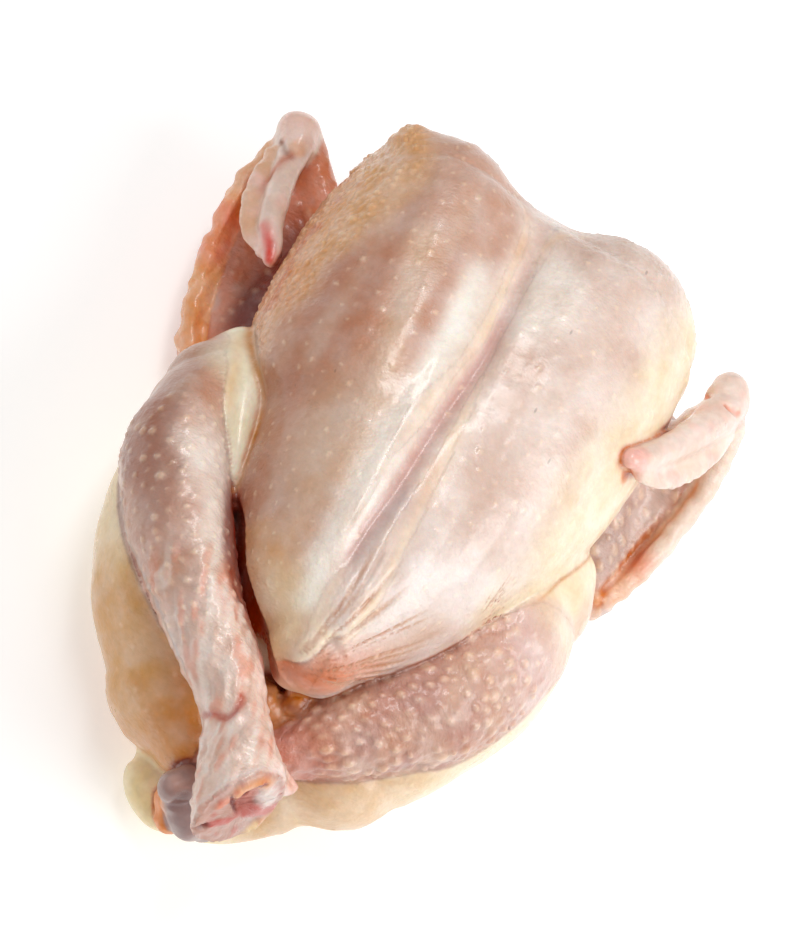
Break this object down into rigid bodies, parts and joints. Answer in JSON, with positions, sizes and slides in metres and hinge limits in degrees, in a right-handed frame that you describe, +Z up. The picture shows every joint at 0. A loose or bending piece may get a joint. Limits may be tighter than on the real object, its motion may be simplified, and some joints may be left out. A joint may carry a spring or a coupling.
{
  "type": "whole raw chicken",
  "caption": "Whole raw chicken lying on its back, plump breast up, wings folded at its sides and ankles crossed over the tail, for a kitchen, shop or roasting scene.",
  "frame": {"origin": "middle of the bounding box, on the table the bird lies on", "axes": "+X to the bird's left, which is to the right as seen from above with the neck away, +Y to the neck, +Z up from the back to the breast"},
  "size_m": [0.19, 0.2432, 0.1047],
  "materials": {
    "raw_skin": "moist raw skin, pale pink over yellow fat"
  },
  "bodies": {
    "root": {"chicken": "raw_skin"}
  },
  "joints": []
}
